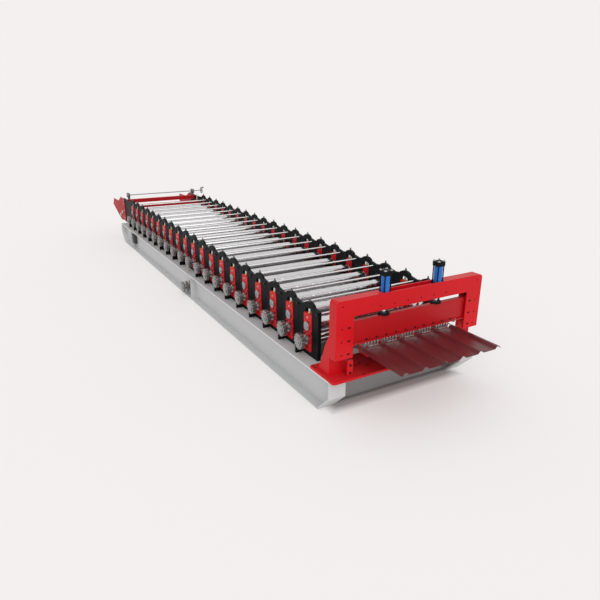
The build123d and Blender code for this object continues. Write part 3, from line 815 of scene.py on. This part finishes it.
def ribbedSheet(look):
    # the section's edges extruded along the line, then given their thickness
    section = sheetSection(look)
    mesh = bpy.data.meshes.new("sheet_tail")
    mesh.from_pydata([(look["start"], y, z) for y, z in section],
                     [(step, step + 1) for step in range(len(section) - 1)], [])
    obj = bpy.data.objects.new("sheet_tail", mesh)
    bpy.context.collection.objects.link(obj)
    pick(obj)
    bpy.ops.object.mode_set(mode="EDIT")
    bpy.ops.mesh.select_mode(type="EDGE")
    bpy.ops.mesh.select_all(action="SELECT")
    bpy.ops.mesh.extrude_region_move(
        TRANSFORM_OT_translate={"value": (look["end"] - look["start"], 0, 0)})
    bpy.ops.mesh.select_all(action="SELECT")
    bpy.ops.mesh.normals_make_consistent(inside=False)
    settle()
    thicken = obj.modifiers.new("thickness", "SOLIDIFY")
    thicken.thickness = look["thick"]
    thicken.offset = 0
    bpy.ops.object.modifier_apply(modifier="thickness")
    return obj


finish(ribbedSheet(sheetTail), "sheet_tail", "sheetWine", "machine")
print("shear fittings made")


# infeed: roller ends, screw bearings, wheel trim
rollerEnds = {"levels": [(0.042, 0.0), (0.042, 0.018), (0.037, 0.022), (0.020, 0.022),
                         (0.018, 0.026)],
              "sides": 28, "places": [(-4.980, 0.517), (-4.790, 0.607)]}
finish(spent(turnedFrom(rollerEnds), onBothSides(line["guideFace"], rollerEnds["places"])),
       "infeed_roller_ends", "toolSteel", "machine")

# cheeks on both sides of the screw's bearings
cheeks = {"size": (0.038, 0.055, 0.095), "edge": 0.004, "apart": 0.084, "y": 0.768, "z": 1.035}
finish(joinAll([bevelledBox(cheeks["size"], (x, side * cheeks["y"], cheeks["z"]), cheeks["edge"])
                for side in sides for x in spaced(2, cheeks["apart"], guideScrew["x"])]),
       "bearing_cheeks", "darkSteel", "machine")

bearingKnobs = {"levels": [(0.008, 0.0), (0.008, 0.008), (0.014, 0.011), (0.014, 0.021),
                           (0.010, 0.025)], "sides": 16, "y": 0.760, "z": 1.0605}
finish(spent(turnedFrom(bearingKnobs),
             [at(guideScrew["x"], side * bearingKnobs["y"], bearingKnobs["z"])
              for side in sides]),
       "bearing_knobs", "darkSteel", "machine")

screwCollars = {"levels": [(0.018, 0.0), (0.020, 0.002), (0.020, 0.014), (0.018, 0.016)],
                "sides": 20, "places": (-0.799, -0.736, 0.720, 0.783)}
finish(spent(turnedFrom(screwCollars),
             [at(guideScrew["x"], y, guideScrew["z"], "+y") for y in screwCollars["places"]]),
       "guide_screw_collars", "zincBolt", "guide_screw")

crankGrip = {"levels": [(0.0095, 0.0), (0.0125, 0.004), (0.0135, 0.020), (0.0120, 0.038),
                        (0.0130, 0.044), (0.0090, 0.050)],
             "sides": 18, "y": 1.012, "crank": 0.065}
finish(spent(turnedFrom(crankGrip),
             [at(guideScrew["x"], crankGrip["y"], guideScrew["z"] + crankGrip["crank"], "+y")]),
       "crank_grip", "gripBlack", "guide_screw")

guideBolts = {"head": 0.011, "height": 0.009, "washer": 0.0025,
              "columns": (-4.66, -4.60), "levels": (0.50, 0.66, 0.82, 0.90)}
finish(spent(hexBolt(guideBolts),
             onBothSides(line["guideFace"], [(x, z) for x in guideBolts["columns"]
                                             for z in guideBolts["levels"]])),
       "guide_plate_bolts", "zincBolt", "machine")

# pale plate inside the entry plates, seen over the infeed
entryPost = {"size": (0.05, 0.012, 0.24), "centre": (-4.20, 0.793, 0.86), "edge": 0.003}
finish(bevelledBox(entryPost["size"], entryPost["centre"], entryPost["edge"]),
       "entry_post", "baseGrey", "machine")
print("infeed trim made")


# drive in the base: wheel hubs, gearbox bolts, motor fins and fan cover
driveHub = {"levels": [(0.040, 0.0), (0.040, 0.006), (0.036, 0.009), (0.0282, 0.009)],
            "sides": 24, "faces": [(-0.980, "-y"), (-1.015, "+y")]}
finish(spent(turnedFrom(driveHub),
             [at(drive["x"], face, drive["z"], axis) for face, axis in driveHub["faces"]]),
       "drive_hubs", "sprocketGrey", "drive_shaft")

gearBolts = {"head": 0.010, "height": 0.009, "washer": 0.0025, "face": -0.775,
             "columns": (0.085, 0.311), "levels": (0.026, 0.325, 0.375)}
finish(spent(hexBolt(gearBolts),
             [at(x, gearBolts["face"], z, "+y")
              for x in gearBolts["columns"] for z in gearBolts["levels"]]),
       "gearbox_bolts", "zincBolt", "machine")

motorFins = {"levels": [(0.096, 0.0), (0.104, 0.001), (0.104, 0.004), (0.096, 0.005)],
             "sides": 28, "middle": 0.469, "pitch": 0.018, "count": 12}
finish(spent(turnedFrom(motorFins),
             [at(x, drive["motorY"], drive["z"], "+x")
              for x in spaced(motorFins["count"], motorFins["pitch"], motorFins["middle"])]),
       "motor_fins", "baseGrey", "machine")

fanCover = {"levels": [(0.100, 0.0), (0.102, 0.004), (0.102, 0.052), (0.090, 0.066),
                       (0.050, 0.068), (0.046, 0.064)],
            "sides": 28, "x": 0.598}
finish(spent(turnedFrom(fanCover), [at(fanCover["x"], drive["motorY"], drive["z"], "+x")]),
       "motor_fan_cover", "plateBlack", "machine")

terminalBox = {"size": (0.09, 0.08, 0.05), "x": 0.45, "z": 0.262, "edge": 0.006}
finish(bevelledBox(terminalBox["size"], (terminalBox["x"], drive["motorY"], terminalBox["z"]),
                   terminalBox["edge"]),
       "motor_terminal_box", "baseGrey", "machine")

# near-black boxes in the channels of both beams: painted shade of the channels
webShadeBox = {"size": (0.24, 0.0885, 0.195), "centre": (-3.54, 0.91325, 0.215), "edge": 0.004}
boxX, boxY, boxZ = webShadeBox["centre"]
finish(joinAll([bevelledBox(webShadeBox["size"], (boxX, side * boxY, boxZ), webShadeBox["edge"])
                for side in sides]), "web_shade_boxes", "channelShadeGrey", "machine")
print("drive trim made")


# stage, lights and camera
paleTone = (0.896, 0.871, 0.863)
ground = {"size": 160, "level": -0.001, "tone": (0.50, 0.488, 0.483), "rough": 0.9,
          "glow": 0.43, "shadowTone": (0.06, 0.058, 0.057), "reach": (4.30, 0.80), "fade": 8.0}


def makeFloorMaterial():
    material, tree, shader = startMaterial("paleFloor")
    shader.inputs["Base Color"].default_value = (*ground["tone"], 1)
    shader.inputs["Roughness"].default_value = ground["rough"]
    shader.inputs["Specular IOR Level"].default_value = 0.0
    # the glow that keeps the floor pale ends under the machine, where a dim glow paints the shadow
    # under it
    place = tree.nodes.new("ShaderNodeSeparateXYZ")
    tree.links.new(objectPoint(tree), place.inputs[0])
    away = [mathNode(tree, "SUBTRACT", mathNode(tree, "ABSOLUTE", place.outputs[axis]), reach)
            for axis, reach in enumerate(ground["reach"])]
    farthest = mathNode(tree, "MAXIMUM", *away)
    outside = mathNode(tree, "MULTIPLY", farthest, ground["fade"], clamp=True)
    glow = mixColor(tree, outside, ground["shadowTone"], paleTone)
    tree.links.new(glow, shader.inputs["Emission Color"])
    shader.inputs["Emission Strength"].default_value = ground["glow"]
    return material


clearSelection()
bpy.ops.mesh.primitive_plane_add(size=ground["size"], location=(0, 0, ground["level"]))
floor = settle()
floor.name = "floor"
floor.data.materials.append(makeFloorMaterial())


def makeWorld():
    # even light, while the camera and reflections see the pale tone
    world = bpy.data.worlds.new("softRoom")
    bpy.context.scene.world = world
    world.use_nodes = True
    tree = world.node_tree
    tree.nodes.clear()
    output = tree.nodes.new("ShaderNodeOutputWorld")
    light = tree.nodes.new("ShaderNodeBackground")
    light.inputs["Color"].default_value = (1, 1, 1, 1)
    light.inputs["Strength"].default_value = 0.70
    seen = tree.nodes.new("ShaderNodeBackground")
    seen.inputs["Color"].default_value = (*paleTone, 1)
    seen.inputs["Strength"].default_value = 1.0
    path = tree.nodes.new("ShaderNodeLightPath")
    direct = mathNode(tree, "MAXIMUM", path.outputs["Is Camera Ray"],
                      path.outputs["Is Glossy Ray"])
    watched = mathNode(tree, "MAXIMUM", direct, path.outputs["Is Transmission Ray"])
    mix = tree.nodes.new("ShaderNodeMixShader")
    tree.links.new(watched, mix.inputs[0])
    tree.links.new(light.outputs[0], mix.inputs[1])
    tree.links.new(seen.outputs[0], mix.inputs[2])
    tree.links.new(mix.outputs[0], output.inputs[0])


makeWorld()

# soft suns, so that the floor is evenly lit to the horizon
lamps = {"key": {"from": (0.70, -0.62, 1.0), "strength": 0.95, "spread": 60},
         "front": {"from": (1.0, -0.10, 0.45), "strength": 0.75, "spread": 60}}
for name, lamp in lamps.items():
    data = bpy.data.lights.new(name, "SUN")
    data.energy = lamp["strength"]
    data.angle = radians(lamp["spread"])
    obj = bpy.data.objects.new(name, data)
    obj.matrix_world = Vector(lamp["from"]).to_track_quat("Z", "Y").to_matrix().to_4x4()
    bpy.context.collection.objects.link(obj)

# the camera that was fitted to the photo
view = {"place": (8.27113, -3.53703, 2.87386), "yaw": 0.525736, "pitch": 0.340281,
        "roll": 0.005894, "lens": 31.869, "sensor": 36, "farthest": 400}
aim = Vector((-cos(view["yaw"]) * cos(view["pitch"]), sin(view["yaw"]) * cos(view["pitch"]),
              -sin(view["pitch"])))
across = aim.cross(Vector((0, 0, 1))).normalized()
above = across.cross(aim)
right = cos(view["roll"]) * across + sin(view["roll"]) * above
upward = -sin(view["roll"]) * across + cos(view["roll"]) * above
cameraData = bpy.data.cameras.new("photoView")
cameraData.sensor_width = view["sensor"]
cameraData.lens = view["lens"]
cameraData.clip_end = view["farthest"]
camera = bpy.data.objects.new("photoView", cameraData)
turn = Matrix((right, upward, -aim)).transposed().to_4x4()
camera.matrix_world = Matrix.Translation(Vector(view["place"])) @ turn
bpy.context.collection.objects.link(camera)
bpy.context.scene.camera = camera
bpy.context.scene.view_settings.view_transform = "Standard"
print("stage set")
